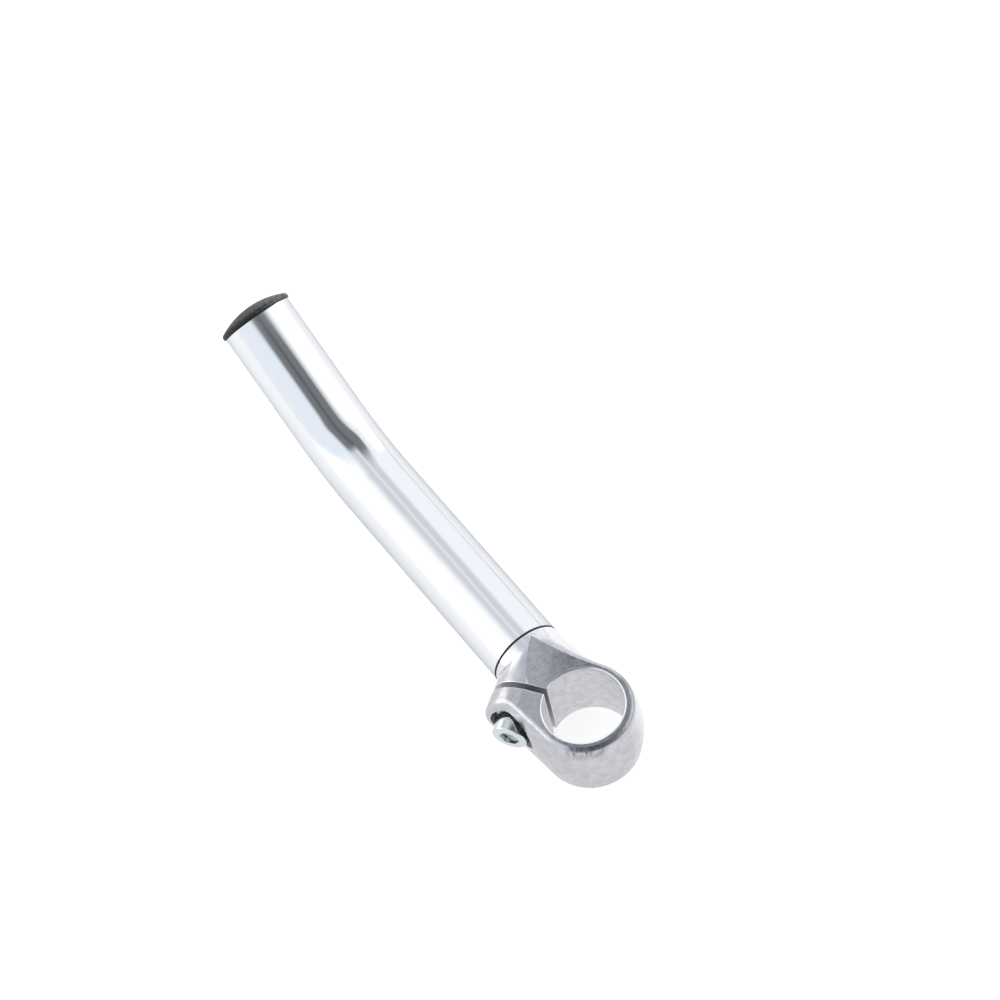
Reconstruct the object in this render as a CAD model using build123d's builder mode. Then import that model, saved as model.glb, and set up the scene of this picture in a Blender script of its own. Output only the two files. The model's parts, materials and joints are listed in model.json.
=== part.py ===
"""Bicycle bar end: a bent aluminium tube on a cast clamp that grips the end of a handlebar.

Millimetres. The origin is the centre of the clamp's bore, +Z runs along the handlebar,
and the straight part of the tube runs along +Y. The part lies on the clamp's lower face.
"""
import os
from math import acos, atan2, cos, degrees, radians, sin, sqrt

from build123d import *

os.makedirs("parts", exist_ok=True)

# Handlebar clamp
bore_diameter = 22.4          # slips over a 22.2 mm handlebar
bore_edge = 0.3               # chamfer at both mouths of the bore
neck_margin = 0.7             # flat faces stand this far outside the tube's sides
rim_wall = 2.3                # rim round the bore
belly = 1.6                   # swell of the side walls at half height
cast_edge = 1.5               # rounding between flat faces and side walls

# Pinch lugs, measured from the bore centre along and across the slot
slot_angle = 34.0             # from the tube towards the bolt head's side
slot_width = 1.6
slot_offset = 1.1             # slot centre lies this far to the tube's side of the bore centre
flat_reach = 16.7             # the flat faces end here and the lugs' round tips start
lug_knee = 20.5               # where the free lug's taper ends
free_lug_width = 4.2          # from the bore centre line, on the flat faces
knee_blend = 8.0
web_tip_side = 2.2            # where the flat web ends, to the side of the tube's axis
web_tip_gap = 1.5             # and short of the joint
web_bow = 0.8                 # hollow of the web's edge on the lugs' side
web_turn = 7.6                # hollow sweep of its other edge off the ring
flare_turn = 2.0              # the same at half height
flare_gap = 4.0               # the neck's flare starts this far short of the joint
flare_inset = 0.1             # and this far inside the neck's side

# Neck and spigot that carry the tube
neck_length = 11.3            # end of the lugs' flat faces to the joint with the tube
collar_land = 0.9             # round collar next to the joint
joint_edge = 0.25             # chamfers that make the fine joint line
spigot_length = 22.0

# Tube
tube_diameter = 21.0
tube_wall = 2.0
bend_reach = 110.5            # bore centre to the corner of the bend
bend_angle = 28.0
bend_radius = 55.0            # of the centre line
tip_length = 47.5             # corner of the bend to the tube's end
tube_lip = 0.25               # chamfer at the tube's outer end edges

# End plug
plug_overhang = 0.5
plug_rim = 1.1
plug_height = 3.9
plug_edge = 1.0               # rounding between rim and crown
plug_stem_length = 14.0
plug_stem_wall = 1.4
plug_barb_count = 3
plug_barb_width = 1.6
plug_barb_pitch = 4.2
plug_barb_height = 0.3

# Pinch bolt, an M6 socket-head screw
bolt_diameter = 6.0
bolt_length = 16.0
bolt_tip_chamfer = 0.8
bolt_reach = 19.2             # bore centre to the bolt's axis
head_diameter = 10.0
head_height = 6.0
head_edge = 0.5
socket_size = 5.0             # across flats
socket_depth = 3.2
seat_floor = 2.7              # free lug's thickness under the washer
counterbore_diameter = 13.6
bolt_hole_clearance = 0.3
blind_depth = 12.6            # slot-side face of the tapped hole to its end, from the bore centre

# Spring washer, drawn as tightened: flat, with a slanting split
washer_diameter = 11.4
washer_thickness = 1.4
washer_split = 0.7
washer_skew = 20.0
washer_clearance = 0.2

# Fits, radial
spigot_clearance = 0.05
stem_clearance = 0.05
thread_clearance = 0.05

# Worked-out sizes
bore_radius = bore_diameter / 2
rim_radius = bore_radius + rim_wall
tube_radius = tube_diameter / 2
half_height = tube_radius + neck_margin
clamp_height = 2 * half_height
lug_reach = flat_reach + half_height
neck_reach = flat_reach + neck_length
tube_inside = tube_radius - tube_wall
free_slot_face = slot_width / 2 - slot_offset
seat_across = free_slot_face + seat_floor
head_seat = seat_across + washer_thickness
far_reach = lug_reach + clamp_height

# The clamp's plane: X along the slot, Y along the bolt's outward axis, Z along the bore
along_slot = Vector(-sin(radians(slot_angle)), cos(radians(slot_angle)), 0)
clamp_plane = Plane(origin=(0, 0, 0), x_dir=along_slot, z_dir=(0, 0, 1))
bolt_plane = Plane(
    origin=clamp_plane.from_local_coords(Vector(bolt_reach, 0, 0)),
    x_dir=along_slot,
    z_dir=clamp_plane.y_dir,
)
bolt_axis = Axis(bolt_plane.origin, bolt_plane.z_dir)
side_plane = Plane(origin=(0, 0, 0), x_dir=along_slot, z_dir=clamp_plane.y_dir)

# The tube's end, square to its bent part
tip_direction = Vector(0, cos(radians(bend_angle)), sin(radians(bend_angle)))
bend_corner = Vector(0, bend_reach, 0)
tip_centre = bend_corner + tip_direction * tip_length
tip_plane = Plane(origin=tip_centre, x_dir=(1, 0, 0), z_dir=tip_direction)
tip_axis = Axis(tip_centre, tip_direction)
neck_plane = Plane(origin=(0, 0, 0), x_dir=(1, 0, 0), z_dir=(0, 1, 0))

# Corners of the web between fixed lug and neck, in the clamp's plane
web_tip = clamp_plane.to_local_coords(Vector(web_tip_side, neck_reach - web_tip_gap, 0))
web_start = Vector(flat_reach, -slot_offset - slot_width / 2)
flare_tip = clamp_plane.to_local_coords(Vector(tube_radius - flare_inset, neck_reach - flare_gap, 0))


def clamp_outline(bulge):
    """Plan of ring and lugs: bulge is 0 at the flat faces and 1 at half height."""
    ring = rim_radius + bulge * belly
    knee = Vector(lug_knee, free_lug_width + bulge * belly)
    corner = web_tip + (flare_tip - web_tip) * bulge
    free_touch = atan2(knee.Y, knee.X) + acos(ring / knee.length)
    web_touch = atan2(corner.Y, corner.X) - acos(ring / corner.length)
    web_touch += radians(web_turn + (flare_turn - web_turn) * bulge)
    touch = Vector(ring * cos(free_touch), ring * sin(free_touch))
    web = Vector(ring * cos(web_touch), ring * sin(web_touch))
    with BuildLine() as outline:
        FilletPolyline(touch, knee, (far_reach, knee.Y), radius=knee_blend)
        Polyline((far_reach, knee.Y), (far_reach, corner.Y), corner)
        TangentArc(web, corner, tangent=(-sin(web_touch), cos(web_touch)))
        ThreePointArc(web, (-ring, 0), touch)
    return outline


def circles(builder, radius):
    """Round edges of one radius."""
    return builder.edges().filter_by(GeomType.CIRCLE).filter_by(lambda edge: abs(edge.radius - radius) < 0.01)


# Envelope of the casting: flat faces, the lugs' round tips, and the flat web out to its tip
with BuildPart() as clamp_envelope:
    with BuildSketch(side_plane):
        with BuildLine():
            Polyline(
                (flat_reach, half_height),
                (-far_reach, half_height),
                (-far_reach, -half_height),
                (flat_reach, -half_height),
            )
            ThreePointArc((flat_reach, -half_height), (lug_reach, 0), (flat_reach, half_height))
        make_face()
    extrude(amount=far_reach, both=True)
    with BuildSketch(clamp_plane):
        with BuildLine():
            SagittaArc(web_start, web_tip, web_bow)
            Polyline(web_tip, (web_tip.X, -far_reach), (0, -far_reach), (0, web_start.Y), web_start)
        make_face()
    extrude(amount=half_height, both=True)

# Ring and lugs, soft-edged where the side walls meet the flat faces
with BuildPart() as clamp_head:
    for level, bulge in ((-half_height, 0), (0, 1), (half_height, 0)):
        with BuildSketch(clamp_plane.offset(level)):
            add(clamp_outline(bulge).line)
            make_face()
    loft()
    add(clamp_envelope.part, mode=Mode.INTERSECT)
    split(bisect_by=Plane.XZ.offset(collar_land - neck_reach), keep=Keep.TOP)
    flat_faces = clamp_head.faces().filter_by(Axis.Z).group_by(Axis.Z)
    wall_edges = (flat_faces[0] + flat_faces[-1]).edges().filter_by(GeomType.BSPLINE)
    fillet(wall_edges, cast_edge)

# Clamp body: one casting with neck, spigot, ring and two lugs
with BuildPart() as clamp_body:
    with BuildSketch(neck_plane):
        Circle(tube_radius)
    extrude(amount=neck_reach)
    chamfer(clamp_body.faces().sort_by(Axis.Y)[-1].edges(), joint_edge)
    add(clamp_head.part)
    with BuildSketch(neck_plane.offset(neck_reach)):
        Circle(tube_inside - spigot_clearance)
    extrude(amount=spigot_length)
    chamfer(clamp_body.faces().sort_by(Axis.Y)[-1].edges(), 2 * joint_edge)
    Hole(bore_radius)
    chamfer(circles(clamp_body, bore_radius), bore_edge)
    with BuildSketch(clamp_plane):
        with Locations((far_reach / 2, -slot_offset)):
            Rectangle(far_reach, slot_width)
    extrude(amount=clamp_height, both=True, mode=Mode.SUBTRACT)
    with BuildSketch(bolt_plane.offset(seat_across)):
        Circle(counterbore_diameter / 2)
    extrude(amount=far_reach, mode=Mode.SUBTRACT)
    with BuildSketch(bolt_plane.offset(-slot_offset)):
        Circle(bolt_diameter / 2 + bolt_hole_clearance)
    extrude(amount=far_reach, mode=Mode.SUBTRACT)
    with BuildSketch(bolt_plane.offset(-slot_offset)):
        Circle(bolt_diameter / 2 + thread_clearance)
    extrude(amount=slot_offset - blind_depth, mode=Mode.SUBTRACT)

# Tube: straight, one bend, straight
with BuildPart() as tube:
    with BuildLine() as tube_route:
        FilletPolyline((0, neck_reach, 0), bend_corner, tip_centre, radius=bend_radius)
    with BuildSketch(neck_plane.offset(neck_reach)):
        Circle(tube_radius)
        Circle(tube_inside, mode=Mode.SUBTRACT)
    sweep()
    rings = circles(tube, tube_radius).sort_by(Axis.Y)
    chamfer([rings[0], rings[-1]], tube_lip)

# End plug: domed head over the tube's end, hollow barbed stem inside it
plug_radius = tube_radius + plug_overhang
crown_height = plug_height - plug_rim
crown_radius = (plug_radius**2 + crown_height**2) / (2 * crown_height)
crown_drop = crown_radius - sqrt(crown_radius**2 - (plug_radius / 2) ** 2)
crown_middle = (plug_radius / 2, plug_height - crown_drop)
with BuildPart() as end_plug:
    with BuildSketch(Plane(origin=tip_centre, x_dir=(1, 0, 0), z_dir=tip_plane.y_dir * -1)):
        with BuildLine():
            Polyline((0, plug_height), (0, 0), (plug_radius, 0), (plug_radius, plug_rim))
            ThreePointArc((plug_radius, plug_rim), crown_middle, (0, plug_height))
        make_face()
    revolve(axis=tip_axis)
    fillet(circles(end_plug, plug_radius).sort_by(tip_axis)[-1], plug_edge)
    with BuildSketch(tip_plane):
        Circle(tube_inside - stem_clearance - plug_barb_height)
    extrude(amount=-plug_stem_length)
    for barb in range(plug_barb_count):
        with BuildSketch(tip_plane.offset(-(barb + 0.5) * plug_barb_pitch)):
            Circle(tube_inside - stem_clearance)
        extrude(amount=-plug_barb_width, taper=degrees(atan2(plug_barb_height, plug_barb_width)))
    with BuildSketch(tip_plane.offset(-plug_stem_length)):
        Circle(tube_inside - stem_clearance - plug_barb_height - plug_stem_wall)
    extrude(amount=plug_stem_length, mode=Mode.SUBTRACT)

# Pinch bolt
with BuildPart() as clamp_bolt:
    with BuildSketch(bolt_plane.offset(head_seat)):
        Circle(head_diameter / 2)
    extrude(amount=head_height)
    fillet(clamp_bolt.faces().sort_by(bolt_axis)[-1].edges(), head_edge)
    with BuildSketch(bolt_plane.offset(head_seat)):
        Circle(bolt_diameter / 2)
    extrude(amount=-bolt_length)
    chamfer(clamp_bolt.faces().sort_by(bolt_axis)[0].edges(), bolt_tip_chamfer)
    with BuildSketch(bolt_plane.offset(head_seat + head_height)):
        RegularPolygon(socket_size / 2, 6, major_radius=False)
    extrude(amount=-socket_depth, mode=Mode.SUBTRACT)

# Spring washer under the bolt's head
with BuildPart() as spring_washer:
    with BuildSketch(bolt_plane.offset(seat_across)):
        Circle(washer_diameter / 2)
        Circle(bolt_diameter / 2 + washer_clearance, mode=Mode.SUBTRACT)
        with Locations((washer_diameter / 2, 0)):
            Rectangle(washer_diameter, washer_split, rotation=washer_skew, mode=Mode.SUBTRACT)
    extrude(amount=washer_thickness)

for name, sub_part in (
    ("clamp_body", clamp_body),
    ("tube", tube),
    ("end_plug", end_plug),
    ("clamp_bolt", clamp_bolt),
    ("spring_washer", spring_washer),
):
    sub_part.part.label = name
    export_step(sub_part.part, f"parts/{name}.step")
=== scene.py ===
import json
import math

import bpy
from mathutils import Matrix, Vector

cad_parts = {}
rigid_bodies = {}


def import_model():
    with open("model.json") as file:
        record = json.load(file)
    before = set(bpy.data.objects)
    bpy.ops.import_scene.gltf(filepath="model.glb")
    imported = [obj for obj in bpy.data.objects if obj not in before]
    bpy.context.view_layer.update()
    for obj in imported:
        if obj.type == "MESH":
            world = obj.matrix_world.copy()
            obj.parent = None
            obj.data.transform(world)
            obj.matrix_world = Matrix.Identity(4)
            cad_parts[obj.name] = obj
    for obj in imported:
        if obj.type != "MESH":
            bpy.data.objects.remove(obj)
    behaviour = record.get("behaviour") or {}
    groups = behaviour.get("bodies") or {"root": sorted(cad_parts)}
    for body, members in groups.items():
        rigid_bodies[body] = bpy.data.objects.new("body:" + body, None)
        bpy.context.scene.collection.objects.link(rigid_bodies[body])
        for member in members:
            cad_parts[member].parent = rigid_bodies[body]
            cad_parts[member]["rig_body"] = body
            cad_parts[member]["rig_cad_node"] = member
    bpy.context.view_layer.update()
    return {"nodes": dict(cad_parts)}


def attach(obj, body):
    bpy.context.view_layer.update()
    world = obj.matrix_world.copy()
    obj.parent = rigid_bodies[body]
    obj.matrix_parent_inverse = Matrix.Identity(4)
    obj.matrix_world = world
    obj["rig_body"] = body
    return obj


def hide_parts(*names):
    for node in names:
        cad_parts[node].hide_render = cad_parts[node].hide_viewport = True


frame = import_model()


# Camera: the viewpoint of the photograph, a long lens that looks down on the part from its
# open side, so that the tube runs away to the upper left.
bpy.ops.object.select_all(action="DESELECT")
bpy.ops.object.camera_add(
    location=(-0.252876, -0.559408, 1.120727),
    rotation=(math.radians(30.7788), math.radians(7.5396), math.radians(-36.0237)),
)
camera = bpy.context.active_object
camera.name = "camera"
camera.data.sensor_width = 36
camera.data.lens = 171.04
camera.data.clip_end = 100
bpy.context.scene.camera = camera
bpy.context.scene.view_settings.view_transform = "Standard"


# Studio: a pale light tent seen from inside, with a white wall on the left and a lamp behind
# the right one. Overhead is a dark opening beside a grey seam with a light gap. The polished
# tube mirrors them as its dark stripe, its double grey line and its pale bands.
def add_node(tree, kind, **inputs):
    """Adds a shader node and sets the named inputs: a value, or the socket that feeds one."""
    made = tree.nodes.new("ShaderNode" + kind)
    for key, value in inputs.items():
        feed(tree, made.inputs[key.replace("_", " ")], value)
    return made


def feed(tree, socket, value):
    """Links a socket to an output, or sets its own value."""
    if isinstance(value, bpy.types.NodeSocket):
        tree.links.new(value, socket)
    else:
        socket.default_value = value


def math_of(tree, operation, first, second=0.0):
    """One Math node's output."""
    made = tree.nodes.new("ShaderNodeMath")
    made.operation = operation
    feed(tree, made.inputs[0], first)
    feed(tree, made.inputs[1], second)
    return made.outputs[0]


def sum_of(tree, first, *others):
    """Adds values."""
    for other in others:
        first = math_of(tree, "ADD", first, other)
    return first


def product_of(tree, first, *others):
    """Multiplies values."""
    for other in others:
        first = math_of(tree, "MULTIPLY", first, other)
    return first


def radius_of(tree, first, second):
    """The distance from an axis, from the two coordinates across that axis."""
    squares = (math_of(tree, "POWER", value, 2.0) for value in (first, second))
    return math_of(tree, "SQRT", sum_of(tree, *squares))


def ramp_of(tree, value, low, high, to_low=0.0, to_high=1.0):
    """A smooth step from to_low, where value is low, to to_high, where it is high."""
    made = tree.nodes.new("ShaderNodeMapRange")
    made.interpolation_type = "SMOOTHSTEP"
    for socket, setting in zip(made.inputs, (value, low, high, to_low, to_high)):
        feed(tree, socket, setting)
    return made.outputs[0]


def band_of(tree, value, start, full, fading, end):
    """A smooth band, which rises from start to full and falls from fading to end."""
    return product_of(tree, ramp_of(tree, value, start, full), ramp_of(tree, value, fading, end, 1.0, 0.0))


def blend_of(tree, share, first, second):
    """Mixes two colours by a share."""
    made = tree.nodes.new("ShaderNodeMix")
    made.data_type = "RGBA"
    feed(tree, made.inputs[0], share)
    feed(tree, made.inputs[6], first)
    feed(tree, made.inputs[7], second)
    return made.outputs[2]


studio = bpy.data.worlds.new("studio")
bpy.context.scene.world = studio
studio.use_nodes = True
sky = studio.node_tree
sky.nodes.clear()
direction = add_node(sky, "SeparateXYZ", Vector=add_node(sky, "TexCoord").outputs["Generated"])
side, along, height = direction.outputs
lean = math_of(sky, "DIVIDE", side, math_of(sky, "MAXIMUM", radius_of(sky, side, height), 0.001))

low_grey, high_grey = (0.89, 0.905, 0.945, 1), (0.83, 0.89, 0.965, 1)
low_white, high_white = (1.6, 1.6, 1.6, 1), (1.07, 1.07, 1.07, 1)
lamp_white, over_lamp = (2.6, 2.6, 2.6, 1), (1.08, 1.08, 1.08, 1)
cool_white, end_grey = (0.95, 0.98, 1.02, 1), (0.30, 0.30, 0.32, 1)
grey_wall = blend_of(sky, ramp_of(sky, height, 0.05, 0.5), low_grey, high_grey)
white_wall = blend_of(sky, ramp_of(sky, height, 0.40, 0.72), low_white, high_white)
lamp_wall = blend_of(sky, ramp_of(sky, height, 0.30, 0.62), lamp_white, over_lamp)
left_wall = blend_of(sky, ramp_of(sky, along, 0.06, 0.34), grey_wall, white_wall)
right_wall = blend_of(sky, ramp_of(sky, along, 0.16, 0.42), lamp_wall, cool_white)
walls = blend_of(sky, ramp_of(sky, side, -0.2, 0.2), left_wall, right_wall)
walls = blend_of(sky, ramp_of(sky, along, -0.85, -0.55), end_grey, walls)

seam_grey, gap_grey = (0.655, 0.68, 0.725, 1), (0.80, 0.83, 0.87, 1)
overhead = ramp_of(sky, height, 0.1, 0.4)
widened = sum_of(sky, lean, ramp_of(sky, along, 0.455, 0.50, 0.0, 0.08))
seam_left, seam_right = ramp_of(sky, widened, -0.50, -0.06), ramp_of(sky, lean, 0.34, 0.58, 1.0, 0.0)
seam = product_of(sky, seam_left, seam_right, overhead)
gap = product_of(sky, band_of(sky, lean, -0.04, 0.07, 0.10, 0.20), overhead)
roof = blend_of(sky, gap, blend_of(sky, seam, walls, seam_grey), gap_grey)

opening_dark, core_dark = (0.185, 0.195, 0.205, 1), (0.125, 0.13, 0.14, 1)
shifted = math_of(sky, "SUBTRACT", lean, ramp_of(sky, along, -0.28, 0.14, 0.0, 0.22))
left_edge = ramp_of(sky, shifted, -0.60, -0.38)
sharp_edge = ramp_of(sky, shifted, 0.30, 0.38, 0.75, 0.0)
faint_edge = ramp_of(sky, shifted, 0.36, 0.62, 0.25, 0.0)
right_edge = sum_of(sky, sharp_edge, faint_edge)
on_right = ramp_of(sky, lean, 0.02, 0.24)
on_left = math_of(sky, "SUBTRACT", 1.0, on_right)
left_end = product_of(sky, on_left, ramp_of(sky, along, 0.04, 0.17, 1.0, 0.0))
right_end = product_of(sky, on_right, ramp_of(sky, along, 0.12, 0.46, 1.0, 0.0))
opening = product_of(sky, left_edge, right_edge, overhead, sum_of(sky, left_end, right_end))
core_share = band_of(sky, shifted, -0.24, -0.13, -0.08, 0.04)
tent = blend_of(sky, opening, roof, blend_of(sky, core_share, opening_dark, core_dark))

hem_grey = (0.58, 0.59, 0.61, 1)
hem = band_of(sky, height, -0.02, 0.01, 0.03, 0.07)
hem = product_of(sky, hem, ramp_of(sky, side, 0.3, 0.6), ramp_of(sky, along, -0.2, 0.3, 0.25, 1.0))
tent = blend_of(sky, hem, tent, hem_grey)

backdrop_white = (1, 1, 1, 1)
seen_directly = add_node(sky, "LightPath").outputs["Is Camera Ray"]
light = add_node(sky, "Background", Color=blend_of(sky, seen_directly, tent, backdrop_white), Strength=1.0)
feed(sky, add_node(sky, "OutputWorld").inputs["Surface"], light.outputs[0])


# Floor: a wide sheet of matt white paper under the clamp's lower face. Its white shows to the
# camera and in the metal, and it still takes the part's soft shadow.
mm = 0.001
half_height = 11.2 * mm
floor_width = 60
paper_white, glow_white = (0.62, 0.62, 0.62, 1), (1, 1, 1, 1)
glow_seen, glow_mirrored = 0.76, 0.51
bpy.ops.object.select_all(action="DESELECT")
bpy.ops.mesh.primitive_plane_add(size=floor_width, location=(0, 0, -half_height))
floor = bpy.context.active_object
floor.name = "floor"
paper = bpy.data.materials.new("white_paper")
paper.use_nodes = True
tree = paper.node_tree
tree.nodes.clear()
matt = add_node(tree, "BsdfDiffuse", Color=paper_white)
path = add_node(tree, "LightPath").outputs
seen = product_of(tree, sum_of(tree, path["Is Camera Ray"], path["Is Transmission Ray"]), glow_seen)
mirrored = product_of(tree, path["Is Glossy Ray"], glow_mirrored)
glow = add_node(tree, "Emission", Color=glow_white, Strength=sum_of(tree, seen, mirrored))
both = tree.nodes.new("ShaderNodeAddShader")
feed(tree, both.inputs[0], matt.outputs[0])
feed(tree, both.inputs[1], glow.outputs[0])
feed(tree, add_node(tree, "OutputMaterial").inputs["Surface"], both.outputs[0])
floor.data.materials.append(paper)


# Clamp body: one aluminium casting, tumbled satin, with its corners rubbed bright. Its colour also holds
# painted light: a painted highlight on the neck and on the right side, a painted dark reflection on the
# front of the rim's rounded edge, painted shade under the rim, and painted shade across the ground faces.
# Its two flat faces are ground, the bore is turned, the screw's seat is drilled, and the slot between the
# pinch lugs is sawn.
micron = 0.001 * mm


def copy_of_node(node, name):
    """A separate, merged copy of a CAD node's mesh, with none of the node's links."""
    bpy.ops.object.select_all(action="DESELECT")
    frame["nodes"][node].select_set(True)
    bpy.context.view_layer.objects.active = frame["nodes"][node]
    bpy.ops.object.duplicate()
    made = bpy.context.active_object
    made.name = name
    bpy.ops.object.parent_clear(type="CLEAR_KEEP_TRANSFORM")
    del made["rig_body"], made["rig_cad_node"]
    made.data.materials.clear()
    bpy.ops.mesh.customdata_custom_splitnormals_clear()
    bpy.ops.object.mode_set(mode="EDIT")
    bpy.ops.mesh.select_all(action="SELECT")
    bpy.ops.mesh.remove_doubles(threshold=2 * micron)
    bpy.ops.mesh.dissolve_limited(angle_limit=math.radians(0.2))
    bpy.ops.object.mode_set(mode="OBJECT")
    return made


def soften_edges(piece, width, angle=30, segments=2, weighted=False, edge_finish=-1):
    """Rounds a piece's sharp edges, or only its weighted ones, and shades the rest smooth."""
    bevel = piece.modifiers.new("edges", "BEVEL")
    bevel.material = edge_finish
    bevel.width = width
    bevel.segments = segments
    bevel.limit_method = "WEIGHT" if weighted else "ANGLE"
    bevel.angle_limit = math.radians(angle)
    bevel.use_clamp_overlap = not weighted
    bpy.context.view_layer.objects.active = piece
    piece.select_set(True)
    bpy.ops.object.modifier_apply(modifier="edges")
    bpy.ops.object.shade_smooth_by_angle(angle=math.radians(angle))
    weights = piece.modifiers.new("weights", "WEIGHTED_NORMAL")
    weights.keep_sharp = True
    bpy.ops.object.modifier_apply(modifier="weights")


def finish_of(name, colour, roughness, metallic=1.0):
    """A new material with its Principled shader, ready for its pattern."""
    made = bpy.data.materials.new(name)
    made.use_nodes = True
    shader = made.node_tree.nodes["Principled BSDF"]
    shader.inputs["Base Color"].default_value = (*colour, 1)
    shader.inputs["Roughness"].default_value = roughness
    shader.inputs["Metallic"].default_value = metallic
    return made, made.node_tree, shader


def colour_by(tree, shader, share, first, second):
    """Colours a finish with a mix of two tones."""
    feed(tree, shader.inputs["Base Color"], blend_of(tree, share, first, second))


def add_bump(tree, shader, height, depth):
    """Raises a surface by height times depth, in metres."""
    bump = add_node(tree, "Bump", Height=height, Strength=1.0, Distance=depth)
    feed(tree, shader.inputs["Normal"], bump.outputs[0])


def place_in_mm(tree, turn=(0, 0, 0), stretch=(1, 1, 1), shift=(0, 0, 0)):
    """Object coordinates in millimetres, turned and stretched."""
    place = add_node(tree, "TexCoord").outputs["Object"]
    scale = [share / mm for share in stretch]
    return add_node(tree, "Mapping", Vector=place, Location=shift, Rotation=turn, Scale=scale).outputs[0]


def distance_along(tree, heading):
    """How far a point lies, in millimetres, along a level heading in degrees from +X."""
    turned = place_in_mm(tree, turn=(0, 0, -math.radians(heading)))
    return add_node(tree, "SeparateXYZ", Vector=turned).outputs[0]


def noise_of(tree, place, scale, detail, roughness=0.5):
    """A noise pattern's value."""
    made = add_node(tree, "TexNoise", Vector=place, Scale=scale, Detail=detail, Roughness=roughness)
    return made.outputs[0]


def group_named(name, inputs, outputs):
    """An empty node group with named sockets; inputs come with their default values."""
    made = bpy.data.node_groups.new(name, "ShaderNodeTree")
    for label, kind, value in inputs:
        socket = made.interface.new_socket(label, in_out="INPUT", socket_type="NodeSocket" + kind)
        if value is not None:
            socket.default_value = value
    for label, kind in outputs:
        made.interface.new_socket(label, in_out="OUTPUT", socket_type="NodeSocket" + kind)
    return made, made.nodes.new("NodeGroupInput").outputs, made.nodes.new("NodeGroupOutput").inputs


def use_group(tree, group, **inputs):
    """Places a node group with its own values and gives its outputs."""
    made = tree.nodes.new("ShaderNodeGroup")
    made.node_tree = group
    for key, value in inputs.items():
        feed(tree, made.inputs[key.replace("_", " ")], value)
    return made.outputs


cast_grain, given, result = group_named(
    "cast_grain",
    [("Vector", "Vector", None), ("Grain", "Float", 1.0), ("Pits", "Float", 0.5)],
    [("Height", "Float"), ("Mottle", "Float")],
)
coarse = noise_of(cast_grain, given["Vector"], 0.35, 3.0, 0.55)
fine = noise_of(cast_grain, given["Vector"], 1.9, 4.0, 0.6)
dots = add_node(cast_grain, "TexVoronoi", Vector=given["Vector"], Scale=0.55)
spots = ramp_of(cast_grain, dots.outputs["Distance"], 0.05, 0.22, 1.0, 0.0)
pitted = ramp_of(cast_grain, coarse, 0.56, 0.66)
pits = product_of(cast_grain, spots, pitted, given["Pits"])
bumps = sum_of(cast_grain, coarse, product_of(cast_grain, fine, 0.28))
relief = product_of(cast_grain, bumps, given["Grain"])
feed(cast_grain, result["Height"], math_of(cast_grain, "SUBTRACT", relief, pits))
feed(cast_grain, result["Mottle"], noise_of(cast_grain, given["Vector"], 0.45, 6.0, 0.65))

tool_marks, given, result = group_named(
    "tool_marks", [("Vector", "Vector", None), ("Contrast", "Float", 1.0)], [("Marks", "Float")]
)
broad = noise_of(tool_marks, given["Vector"], 1.0, 2.0)
thin = noise_of(tool_marks, given["Vector"], 4.0, 3.0, 0.7)
marks = product_of(tool_marks, sum_of(tool_marks, broad, thin, -1.0), 0.5, given["Contrast"])
feed(tool_marks, result["Marks"], marks)

slot_angle = 34
slot_turn = math.radians(slot_angle)
along_slot = Vector((-math.sin(slot_turn), math.cos(slot_turn), 0))
bolt_way = Vector((-math.cos(slot_turn), -math.sin(slot_turn), 0))
bolt_reach = 19.2 * mm
front_heading, right_heading, left_heading, bolt_heading = -70, 20, 144, 180 + slot_angle

cast_dull, cast_pale = (0.56, 0.555, 0.59, 1), (0.66, 0.655, 0.685, 1)
# Painted highlights: a lighter tone for the neck and a near-white tone for the right side.
neck_highlight_tone, highlight_tone = (0.82, 0.82, 0.845, 1), (0.99, 0.99, 1.0, 1)
# Painted dark tones: one for a dark reflection on the rim's rounded edge, one for shade under the rim.
dark_reflection_tone, under_rim_shade_tone = (0.30, 0.315, 0.34, 1), (0.10, 0.105, 0.115, 1)
cast_skin, tree, shader = finish_of("cast_skin", (0.66, 0.66, 0.70), 0.20)
grain = use_group(tree, cast_grain, Vector=place_in_mm(tree), Grain=1.0, Pits=1.2)
rightward, forward, rise = add_node(tree, "SeparateXYZ", Vector=place_in_mm(tree)).outputs
from_bore = radius_of(tree, rightward, forward)
toward_front = distance_along(tree, front_heading)
front_share = math_of(tree, "DIVIDE", toward_front, from_bore)
right_share = math_of(tree, "DIVIDE", distance_along(tree, right_heading), from_bore)
# Painted highlight: the neck is painted a lighter tone, and it is also made smoother.
on_neck = ramp_of(tree, forward, 22.0, 25.0)
on_lug = product_of(
    tree,
    ramp_of(tree, rightward, -7.0, -4.0, 1.0, 0.0),
    ramp_of(tree, forward, 21.0, 24.0, 1.0, 0.0),
    ramp_of(tree, distance_along(tree, bolt_heading), -1.6, -0.6, 1.0, 0.0),
)
# Painted highlight: the walls on the right side, below the top, are painted near white.
right_side_highlight = product_of(
    tree,
    ramp_of(tree, right_share, -0.10, 0.70, 0.0, 0.9),
    ramp_of(tree, rise, 8.0, 10.5, 1.0, 0.0),
)
# Painted dark reflection: the front of the rim's rounded top edge is painted dark and made rougher.
rim_dark_reflection = product_of(
    tree,
    ramp_of(tree, front_share, 0.15, 0.45),
    ramp_of(tree, from_bore, 14.6, 15.2, 1.0, 0.0),
    ramp_of(tree, rise, 9.7, 10.7),
    ramp_of(tree, grain["Mottle"], 0.30, 0.50, 0.55, 1.0),
)
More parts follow.
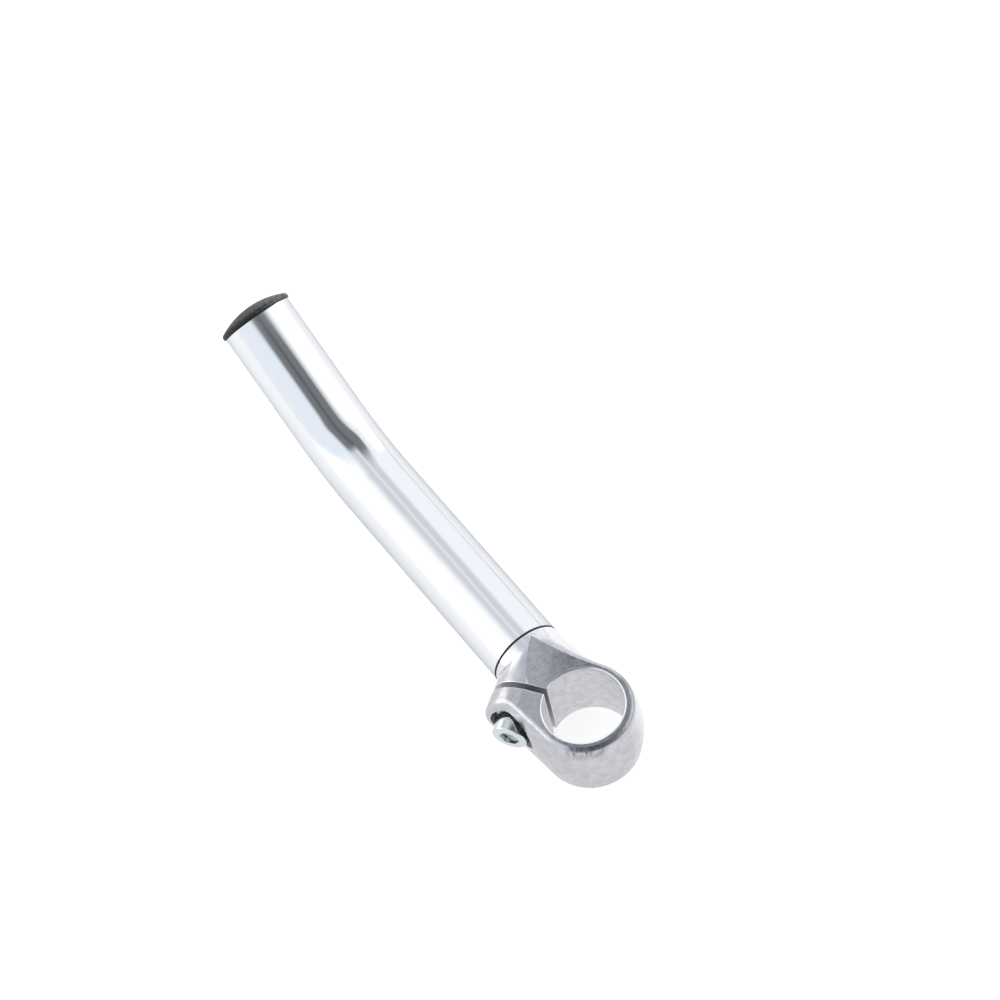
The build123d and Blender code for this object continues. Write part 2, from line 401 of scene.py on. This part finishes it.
# Painted shade: the upper front wall under the rim is painted dark in vertical streaks and made rougher.
streaks = noise_of(tree, place_in_mm(tree, stretch=(1.3, 1.3, 0.22)), 1.0, 4.0, 0.6)
under_rim_shade = product_of(
    tree,
    band_of(tree, right_share, -0.995, -0.93, -0.70, -0.42),
    ramp_of(tree, toward_front, 0.5, 3.0),
    ramp_of(tree, rise, 6.2, 10.2),
    ramp_of(tree, streaks, 0.35, 0.62),
)
cast_tone = blend_of(tree, ramp_of(tree, grain["Mottle"], 0.3, 0.7), cast_dull, cast_pale)
cast_tone = blend_of(tree, on_neck, cast_tone, neck_highlight_tone)
cast_tone = blend_of(tree, right_side_highlight, cast_tone, highlight_tone)
cast_tone = blend_of(tree, rim_dark_reflection, cast_tone, dark_reflection_tone)
colour_by(tree, shader, product_of(tree, under_rim_shade, 0.78), cast_tone, under_rim_shade_tone)
roughness = sum_of(
    tree,
    ramp_of(tree, grain["Mottle"], 0.3, 0.7, 0.25, 0.16),
    product_of(tree, on_neck, -0.07),
    product_of(tree, on_lug, 0.13),
    product_of(tree, math_of(tree, "MAXIMUM", rim_dark_reflection, under_rim_shade), 0.2),
)
feed(tree, shader.inputs["Roughness"], roughness)
add_bump(tree, shader, grain["Height"], 50 * micron)

ground_face, tree, shader = finish_of("ground_face", (0.42, 0.43, 0.46), 0.42)
grain = use_group(tree, cast_grain, Vector=place_in_mm(tree, shift=(7, 3, 0)), Grain=0.6, Pits=0.6)
grinding = place_in_mm(tree, turn=(0, 0, 0.5), stretch=(0.35, 2.6, 2.6))
lines = use_group(tree, tool_marks, Vector=grinding, Contrast=1.0)
tone = sum_of(tree, product_of(tree, grain["Mottle"], 0.6), 0.2, lines["Marks"])
share = ramp_of(tree, tone, 0.3, 0.7)
# Painted shade: the ground faces are painted darker on one side and lighter toward heading 144 degrees.
shaded_flat_tone = blend_of(tree, share, (0.20, 0.21, 0.24, 1), (0.42, 0.43, 0.47, 1))
lit_flat_tone = blend_of(tree, share, (0.43, 0.44, 0.475, 1), (0.61, 0.62, 0.655, 1))
colour_by(tree, shader, ramp_of(tree, distance_along(tree, left_heading), 3.0, 14.0), shaded_flat_tone, lit_flat_tone)
feed(tree, shader.inputs["Roughness"], ramp_of(tree, tone, 0.3, 0.7, 0.5, 0.36))
add_bump(tree, shader, sum_of(tree, grain["Height"], lines["Marks"]), 30 * micron)

turned_bore, tree, shader = finish_of("turned_bore", (0.86, 0.85, 0.89), 0.34)
grain = use_group(tree, cast_grain, Vector=place_in_mm(tree, shift=(2, 9, 4)), Grain=0.5, Pits=1.6)
lines = use_group(tree, tool_marks, Vector=place_in_mm(tree, stretch=(0.10, 0.10, 3.0)), Contrast=1.5)
tone = sum_of(tree, grain["Mottle"], lines["Marks"])
colour_by(tree, shader, ramp_of(tree, tone, 0.3, 0.7), (0.80, 0.795, 0.825, 1), (1.0, 0.995, 1.0, 1))
feed(tree, shader.inputs["Roughness"], ramp_of(tree, tone, 0.3, 0.7, 0.42, 0.3))
add_bump(tree, shader, sum_of(tree, grain["Height"], lines["Marks"]), 30 * micron)

sawn_slot, tree, shader = finish_of("sawn_slot", (0.78, 0.78, 0.81), 0.40)
sawing = place_in_mm(tree, turn=(0, 0, -slot_turn), stretch=(1.0, 4.0, 0.15))
lines = use_group(tree, tool_marks, Vector=sawing, Contrast=1.5)
share = ramp_of(tree, lines["Marks"], -0.3, 0.3)
colour_by(tree, shader, share, (0.68, 0.68, 0.71, 1), (0.86, 0.86, 0.89, 1))
add_bump(tree, shader, lines["Marks"], 40 * micron)

drilled_seat, tree, shader = finish_of("drilled_seat", (0.24, 0.25, 0.27), 0.5)
drilling = place_in_mm(tree, shift=(4, 1, 8), stretch=(1.6, 1.6, 1.6))
grain = use_group(tree, cast_grain, Vector=drilling, Grain=1.0, Pits=1.5)
share = ramp_of(tree, grain["Mottle"], 0.35, 0.65)
colour_by(tree, shader, share, (0.10, 0.11, 0.12, 1), (0.66, 0.68, 0.71, 1))
add_bump(tree, shader, grain["Height"], 60 * micron)

joint_line, tree, shader = finish_of("joint_line", (0.035, 0.035, 0.04), 0.7, metallic=0.0)
grain = use_group(tree, cast_grain, Vector=place_in_mm(tree), Grain=1.0, Pits=0.0)
colour_by(tree, shader, grain["Mottle"], (0.02, 0.02, 0.022, 1), (0.06, 0.06, 0.065, 1))

bright_edge, tree, shader = finish_of("bright_edge", (0.93, 0.93, 0.95), 0.16)
grain = use_group(tree, cast_grain, Vector=place_in_mm(tree), Grain=1.0, Pits=0.0)
colour_by(tree, shader, grain["Mottle"], (0.86, 0.865, 0.885, 1), (1.0, 1.0, 1.0, 1))

bore_radius = 11.2 * mm
slot_near, slot_far = -0.3 * mm, -1.9 * mm
counterbore_radius, counterbore_floor = 6.8 * mm, 2.4 * mm
spigot_radius, joint = 8.5 * mm, 28.0 * mm
web_left, web_front = -8.5 * mm, 16 * mm
clamp_finishes = [cast_skin, ground_face, turned_bore, sawn_slot, drilled_seat, joint_line, bright_edge]
clamp = copy_of_node("clamp_body", "cast_clamp")
for finish in clamp_finishes:
    clamp.data.materials.append(finish)
for face in clamp.data.polygons:
    centre, normal = face.center, face.normal
    across = centre.dot(bolt_way)
    off_bolt = (centre - along_slot * bolt_reach - bolt_way * across).length
    on_joint = joint - 0.3 * mm < centre.y < joint + 0.1 * mm and normal.y > 0.3
    in_slot = slot_far - 0.1 * mm < across < slot_near + 0.1 * mm
    if abs(centre.z) > half_height - 0.02 * mm:
        finish = ground_face
    elif math.hypot(centre.x, centre.y) < bore_radius + 0.4 * mm:
        finish = turned_bore
    elif in_slot and abs(normal.dot(bolt_way)) > 0.98:
        finish = sawn_slot
    elif off_bolt < counterbore_radius + 0.05 * mm and across > counterbore_floor - 0.4 * mm:
        finish = drilled_seat
    elif on_joint and math.hypot(centre.x, centre.z) > spigot_radius + 0.1 * mm:
        finish = joint_line
    else:
        finish = cast_skin
    face.material_index = clamp_finishes.index(finish)
bpy.ops.object.mode_set(mode="EDIT")
bpy.ops.mesh.select_mode(type="EDGE")
bpy.ops.mesh.select_all(action="DESELECT")
bpy.ops.mesh.edges_select_sharp(sharpness=math.radians(30))
bpy.ops.object.mode_set(mode="OBJECT")
worn_edges = clamp.data.attributes.new("bevel_weight_edge", "FLOAT", "EDGE")
for edge in clamp.data.edges:
    first, second = (clamp.data.vertices[index].co for index in edge.vertices)
    middle = (first + second) / 2
    on_web = middle.x > web_left and middle.y > web_front
    if edge.select and not on_web:
        worn_edges.data[edge.index].value = 1.0
soften_edges(clamp, 0.22 * mm, weighted=True, edge_finish=clamp_finishes.index(bright_edge))
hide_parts("clamp_body")
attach(clamp, "bar_end")


# Tube: drawn aluminium tube, bent cold and polished bright. It is pressed over the clamp's
# spigot, and its wall shows only at the two ends.
tube_wall = 2.0 * mm
tube_radius = spigot_radius + tube_wall
bend_corner = 110.5 * mm
bend_angle = math.radians(28)
bend_radius = 55 * mm
tip_length = 47.5 * mm
bend_run = bend_radius * math.tan(bend_angle / 2)
bend_start = bend_corner - bend_run
bend_end = bend_start + bend_radius * bend_angle
tip_way = Vector((0, math.cos(bend_angle), math.sin(bend_angle)))
tip_up = Vector((0, -math.sin(bend_angle), math.cos(bend_angle)))
straight_steps, bend_steps, tip_steps = 6, 36, 3
straight_step = Vector((0, bend_start - joint, 0)) / straight_steps
tip_step = tip_way * (tip_length - bend_run) / tip_steps

bpy.ops.object.select_all(action="DESELECT")
bpy.ops.mesh.primitive_circle_add(
    vertices=144, radius=tube_radius, location=(0, joint, 0), rotation=(math.radians(90), 0, 0)
)
tube = bpy.context.active_object
tube.name = "polished_tube"
bpy.ops.object.transform_apply(location=True, rotation=True, scale=True)
bpy.ops.object.mode_set(mode="EDIT")
bpy.ops.mesh.select_all(action="SELECT")
for step in range(straight_steps):
    bpy.ops.mesh.extrude_region_move(TRANSFORM_OT_translate={"value": straight_step})
bend_centre = (0, bend_start, bend_radius)
bpy.ops.mesh.spin(
    steps=bend_steps, angle=-bend_angle, center=bend_centre, axis=(1, 0, 0), use_auto_merge=True
)
for step in range(tip_steps):
    bpy.ops.mesh.extrude_region_move(TRANSFORM_OT_translate={"value": tip_step})
bpy.ops.mesh.select_all(action="SELECT")
bpy.ops.mesh.remove_doubles(threshold=micron)
bpy.ops.mesh.normals_make_consistent(inside=False)
bpy.ops.object.mode_set(mode="OBJECT")
wall = tube.modifiers.new("wall", "SOLIDIFY")
wall.thickness = tube_wall
wall.offset = -1
bpy.ops.object.modifier_apply(modifier="wall")
soften_edges(tube, 0.45 * mm, angle=40, segments=3)


def unbent(point):
    """A point's place as if the tube were straight: across, up, and along the tube."""
    x, y, z = point
    if y <= bend_start:
        return x, z, y
    turn = math.atan2(y - bend_start, bend_radius - z)
    if turn < bend_angle:
        inward = bend_radius - math.hypot(y - bend_start, bend_radius - z)
        return x, inward, bend_start + bend_radius * turn
    past_corner = point - Vector((0, bend_corner, 0))
    return x, past_corner.dot(tip_up), bend_end + past_corner.dot(tip_way) - bend_run


run = tube.data.attributes.new("run", "FLOAT_VECTOR", "POINT")
for vertex in tube.data.vertices:
    run.data[vertex.index].vector = unbent(vertex.co)

polished, tree, shader = finish_of("polished_aluminium", (0.92, 0.93, 0.95), 0.08)
followed = add_node(tree, "Attribute")
followed.attribute_name = "run"
unbent_place = followed.outputs["Vector"]
run_in_mm = product_of(tree, add_node(tree, "SeparateXYZ", Vector=unbent_place).outputs[2], 1 / mm)
drawn_place = add_node(tree, "Mapping", Vector=unbent_place, Scale=(900, 900, 12)).outputs[0]
lines = use_group(tree, tool_marks, Vector=drawn_place, Contrast=1.0)
wavy_place = add_node(tree, "Mapping", Vector=unbent_place, Scale=(90, 90, 70)).outputs[0]
waves = noise_of(tree, wavy_place, 1.0, 1.0)
in_bend = band_of(tree, run_in_mm, 84.0, 100.0, 118.0, 134.0)
wave_height = sum_of(tree, 30.0, product_of(tree, in_bend, 170.0))
line_height = ramp_of(tree, run_in_mm, 60.0, 110.0, 9.0, 3.0)
relief = sum_of(tree, product_of(tree, waves, wave_height), product_of(tree, lines["Marks"], line_height))
add_bump(tree, shader, relief, micron)
line_roughness = ramp_of(tree, lines["Marks"], -0.2, 0.2, 0.05, 0.10)
tip_roughness = ramp_of(tree, run_in_mm, 140.0, 158.0, 0.0, 0.12)
feed(tree, shader.inputs["Roughness"], sum_of(tree, line_roughness, tip_roughness))
shader.inputs["Specular Tint"].default_value = (0.68, 0.69, 0.70, 1)
tube_finishes = [polished, joint_line]
for finish in tube_finishes:
    tube.data.materials.append(finish)
for face in tube.data.polygons:
    if face.center.y < joint + 0.5 * mm and face.normal.y < -0.2:
        face.material_index = tube_finishes.index(joint_line)
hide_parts("tube")
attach(tube, "bar_end")


# End plug: black moulded plastic with a fine grain, with a painted sheen that makes its right side paler.
# Its domed head covers the tube's end and its barbed stem is pushed into the bore.
plug_plastic, tree, shader = finish_of("grained_plastic", (0.055, 0.055, 0.058), 0.5, metallic=0.0)
grain = use_group(tree, cast_grain, Vector=place_in_mm(tree, stretch=(1.4, 1.4, 1.4)), Grain=1.0, Pits=0.3)
fine_place = place_in_mm(tree, stretch=(3.2, 3.2, 3.2))
specks = use_group(tree, cast_grain, Vector=fine_place, Grain=1.0, Pits=0.0)
share = ramp_of(tree, specks["Mottle"], 0.35, 0.65)
# Painted sheen: the plastic is painted paler toward its right side (+X).
dark_side = blend_of(tree, share, (0.010, 0.010, 0.011, 1), (0.032, 0.033, 0.034, 1))
painted_sheen_tone = blend_of(tree, share, (0.06, 0.06, 0.062, 1), (0.19, 0.19, 0.195, 1))
colour_by(tree, shader, ramp_of(tree, distance_along(tree, 0), -3.0, 7.0), dark_side, painted_sheen_tone)
feed(tree, shader.inputs["Roughness"], ramp_of(tree, specks["Mottle"], 0.3, 0.7, 0.60, 0.44))
shader.inputs["Specular IOR Level"].default_value = 0.36
add_bump(tree, shader, grain["Height"], 220 * micron)
plug = copy_of_node("end_plug", "end_plug_cap")
plug.data.materials.append(plug_plastic)
soften_edges(plug, 0.12 * mm)
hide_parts("end_plug")
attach(plug, "bar_end")


# Spring washer: a split ring coiled from flat steel wire and zinc plated. The bolt's head
# presses it flat in the counterbore, and its spring keeps the bolt from working loose.
washer_zinc, tree, shader = finish_of("washer_zinc", (0.55, 0.57, 0.57), 0.3)
grain = use_group(tree, cast_grain, Vector=place_in_mm(tree, stretch=(3, 3, 3)), Grain=1.0, Pits=0.0)
colour_by(tree, shader, grain["Mottle"], (0.48, 0.50, 0.50, 1), (0.64, 0.66, 0.66, 1))
add_bump(tree, shader, grain["Height"], 4 * micron)
washer = copy_of_node("spring_washer", "split_washer")
washer.data.materials.append(washer_zinc)
soften_edges(washer, 0.12 * mm)
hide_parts("spring_washer")
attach(washer, "washer")


# Pinch bolt: an M6 socket-head screw, bright zinc plated, that draws the two lugs together.
# The head is forged, with a drilled cone at the socket's floor, and the thread is rolled.
bright_zinc, tree, shader = finish_of("bright_zinc", (0.74, 0.78, 0.78), 0.16)
grain = use_group(tree, cast_grain, Vector=place_in_mm(tree, stretch=(2, 2, 2)), Grain=1.0, Pits=0.0)
colour_by(tree, shader, grain["Mottle"], (0.70, 0.74, 0.74, 1), (0.82, 0.86, 0.86, 1))
feed(tree, shader.inputs["Roughness"], ramp_of(tree, grain["Mottle"], 0.3, 0.7, 0.15, 0.08))
add_bump(tree, shader, grain["Height"], 4 * micron)

head_seat, bolt_length = 3.8 * mm, 16 * mm
socket_floor, drill_cone = 6.6 * mm, 1.1 * mm
bolt_seat = along_slot * bolt_reach + bolt_way * head_seat
bolt = copy_of_node("clamp_bolt", "socket_screw")
bpy.ops.object.mode_set(mode="EDIT")
bpy.ops.mesh.select_all(action="SELECT")
bpy.ops.mesh.bisect(plane_co=bolt_seat, plane_no=bolt_way, use_fill=True, clear_inner=True)
bpy.ops.mesh.select_all(action="DESELECT")
bpy.ops.object.mode_set(mode="OBJECT")
for face in bolt.data.polygons:
    on_floor = abs(face.center.dot(bolt_way) - socket_floor) < 0.01 * mm
    face.select = on_floor and face.normal.dot(bolt_way) > 0.9
bpy.ops.object.mode_set(mode="EDIT")
bpy.ops.mesh.select_mode(type="FACE")
bpy.ops.mesh.poke(offset=-drill_cone)
bpy.ops.object.mode_set(mode="OBJECT")
soften_edges(bolt, 0.26 * mm)

pitch, thread_top, thread_root = 1.0 * mm, 2.98 * mm, 2.42 * mm
thread_depth = thread_top - thread_root
thread_turns, steps_a_turn = 15, 48
thread_start = 0.3 * mm - bolt_length
thread_end = thread_start + thread_turns * pitch
root, flank, crest = 0.06 * pitch, 0.38 * pitch, 0.12 * pitch
bpy.ops.object.select_all(action="DESELECT")
bpy.ops.mesh.primitive_plane_add(size=mm, location=(0, 0, 0))
thread = bpy.context.active_object
bpy.ops.object.mode_set(mode="EDIT")
bpy.ops.mesh.select_mode(type="VERT")
bpy.ops.mesh.select_all(action="SELECT")
bpy.ops.mesh.merge(type="CENTER")
bpy.ops.transform.translate(value=(thread_root, 0, thread_start))
for out, up in ((0, root), (thread_depth, flank), (0, crest), (-thread_depth, flank), (0, root)):
    bpy.ops.mesh.extrude_vertices_move(TRANSFORM_OT_translate={"value": (out, 0, up)})
bpy.ops.object.mode_set(mode="OBJECT")
helix = thread.modifiers.new("helix", "SCREW")
helix.axis = "Z"
helix.angle = math.radians(360)
helix.screw_offset = pitch
helix.iterations = thread_turns
helix.steps = steps_a_turn
helix.render_steps = steps_a_turn
bpy.ops.object.modifier_apply(modifier="helix")
bpy.ops.object.mode_set(mode="EDIT")
bpy.ops.mesh.select_all(action="SELECT")
bpy.ops.mesh.remove_doubles(threshold=micron)
bpy.ops.mesh.select_all(action="DESELECT")
bpy.ops.object.mode_set(mode="OBJECT")
for profile_middle in (thread_start + pitch / 2, thread_end + pitch / 2):
    for vertex in thread.data.vertices:
        on_profile = vertex.co.x > 0 and abs(vertex.co.y) < micron
        vertex.select = on_profile and abs(vertex.co.z - profile_middle) < 0.51 * pitch
    bpy.ops.object.mode_set(mode="EDIT")
    bpy.ops.mesh.edge_face_add()
    bpy.ops.mesh.select_all(action="DESELECT")
    bpy.ops.object.mode_set(mode="OBJECT")
bpy.ops.object.mode_set(mode="EDIT")
bpy.ops.mesh.select_all(action="SELECT")
bpy.ops.mesh.fill_holes(sides=0)
bpy.ops.mesh.select_all(action="SELECT")
bpy.ops.mesh.normals_make_consistent(inside=False)
bpy.ops.object.mode_set(mode="OBJECT")
bpy.ops.object.shade_smooth_by_angle(angle=math.radians(30))

core_radius = thread_root + 0.03 * mm
bpy.ops.object.select_all(action="DESELECT")
bpy.ops.mesh.primitive_cylinder_add(
    vertices=64, radius=core_radius, depth=bolt_length, location=(0, 0, -bolt_length / 2)
)
core = bpy.context.active_object
soften_edges(core, 0.3 * mm)
bpy.ops.object.transform_apply(location=True, rotation=True, scale=True)
thread.select_set(True)
bpy.context.view_layer.objects.active = core
bpy.ops.object.join()
core.rotation_euler = (0, math.radians(90), slot_turn + math.pi)
core.location = bolt_seat
bpy.ops.object.transform_apply(location=True, rotation=True, scale=True)
bolt.select_set(True)
bpy.context.view_layer.objects.active = bolt
bpy.ops.object.join()
bolt.data.materials.clear()
bolt.data.materials.append(bright_zinc)
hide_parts("clamp_bolt")
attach(bolt, "bolt")
